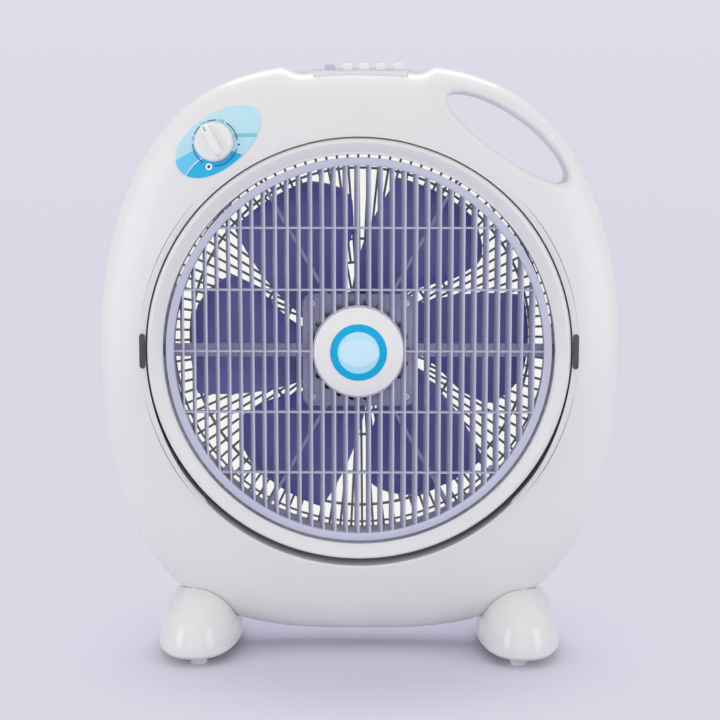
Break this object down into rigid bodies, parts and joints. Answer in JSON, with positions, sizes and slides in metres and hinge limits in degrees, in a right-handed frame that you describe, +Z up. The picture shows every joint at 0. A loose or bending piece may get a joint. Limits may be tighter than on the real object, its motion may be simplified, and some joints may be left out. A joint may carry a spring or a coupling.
{
  "type": "box fan",
  "caption": "Tabletop box fan: pillow-shaped body on two feet, tilting round drum with impeller and turning louvre wheel, timer knob and push keys.",
  "frame": {"origin": "on the floor, under the middle of the body and of the feet", "axes": "+Z up, front faces -Y, +X to the right as seen from the front"},
  "size_m": [0.508, 0.17, 0.5753],
  "materials": {
    "body_white": "satin moulded styrene",
    "louvre_lilac": "moulded, semi-gloss",
    "fan_violet": "glossy moulded blade",
    "spider_mauve": "moulded, satin",
    "grille_grey": "moulded, satin",
    "trim_grey": "moulded, satin",
    "grey_plastic": "moulded",
    "black_plastic": "moulded",
    "knob_white": "polished",
    "dial_blue": "printed plate",
    "disc_blue": "printed disc",
    "pad_rubber": "soft, slightly clear",
    "steel": "plated",
    "core_steel": "stacked plates",
    "copper": "enamelled wire"
  },
  "bodies": {
    "body": {"front_shell": "body_white", "rear_shell": "body_white", "left_foot": "body_white", "right_foot": "body_white", "foot_pads": "pad_rubber", "foot_screws": "steel", "shell_screws": "steel", "pivot_brackets": "grey_plastic", "pivot_washers": "grey_plastic", "pivot_trims": "trim_grey", "cord_gland": "trim_grey", "terminal_block": "grey_plastic", "run_capacitor": "grey_plastic", "key_panel": "louvre_lilac", "key_switch": "black_plastic", "timer_plate": "dial_blue", "timer_body": "black_plastic"},
    "drum": {"drum_shell": "body_white", "pivot_pins": "steel", "spider": "spider_mauve", "spider_screws": "steel", "motor_cup": "spider_mauve", "motor_screws": "steel", "stator": "core_steel", "windings": "copper", "front_plate": "steel", "rear_plate": "spider_mauve", "bearings": "steel", "louvre_motor": "black_plastic", "rear_grille": "grille_grey", "grille_screws": "steel"},
    "fan": {"rotor_core": "core_steel", "motor_shaft": "steel", "impeller": "fan_violet", "impeller_nut": "black_plastic"},
    "louvre": {"louvre_wheel": "louvre_lilac", "louvre_shaft": "steel", "hub_cap": "knob_white", "cap_disc": "disc_blue"},
    "timer": {"timer_shaft": "steel", "timer_knob": "knob_white"},
    "key_off": {"key_off": "louvre_lilac"},
    "key_low": {"key_low": "knob_white"},
    "key_medium": {"key_medium": "knob_white"},
    "key_high": {"key_high": "knob_white"},
    "key_swing": {"key_swing": "knob_white"}
  },
  "joints": [
    {"name": "drum_tilt", "type": "hinge", "parent": "body", "child": "drum", "pos_m": [0, 0, 0.3], "axis": [1, 0, 0], "range_deg": [-15, 15]},
    {"name": "fan_spin", "type": "hinge", "parent": "drum", "child": "fan", "pos_m": [0, 0, 0.3], "axis": [0, 1, 0], "continuous": true},
    {"name": "louvre_spin", "type": "hinge", "parent": "drum", "child": "louvre", "pos_m": [0, 0, 0.3], "axis": [0, 1, 0], "continuous": true},
    {"name": "timer_turn", "type": "hinge", "parent": "body", "child": "timer", "pos_m": [-0.13539, -0.04113, 0.49699], "axis": [-0.1795, -0.9648, 0.1924], "range_deg": [-126, 130]},
    {"name": "key_off_press", "type": "slide", "parent": "body", "child": "key_off", "axis": [0, 0, -1], "range_m": [0, 0.0035], "stiffness_N_per_m": 300, "springref_m": -0.002},
    {"name": "key_low_press", "type": "slide", "parent": "body", "child": "key_low", "axis": [0, 0, -1], "range_m": [0, 0.0035], "stiffness_N_per_m": 300, "springref_m": -0.002},
    {"name": "key_medium_press", "type": "slide", "parent": "body", "child": "key_medium", "axis": [0, 0, -1], "range_m": [0, 0.0035], "stiffness_N_per_m": 300, "springref_m": -0.002},
    {"name": "key_high_press", "type": "slide", "parent": "body", "child": "key_high", "axis": [0, 0, -1], "range_m": [0, 0.0035], "stiffness_N_per_m": 300, "springref_m": -0.002},
    {"name": "key_swing_press", "type": "slide", "parent": "body", "child": "key_swing", "axis": [0, 0, -1], "range_m": [0, 0.0035], "stiffness_N_per_m": 300, "springref_m": -0.002}
  ]
}
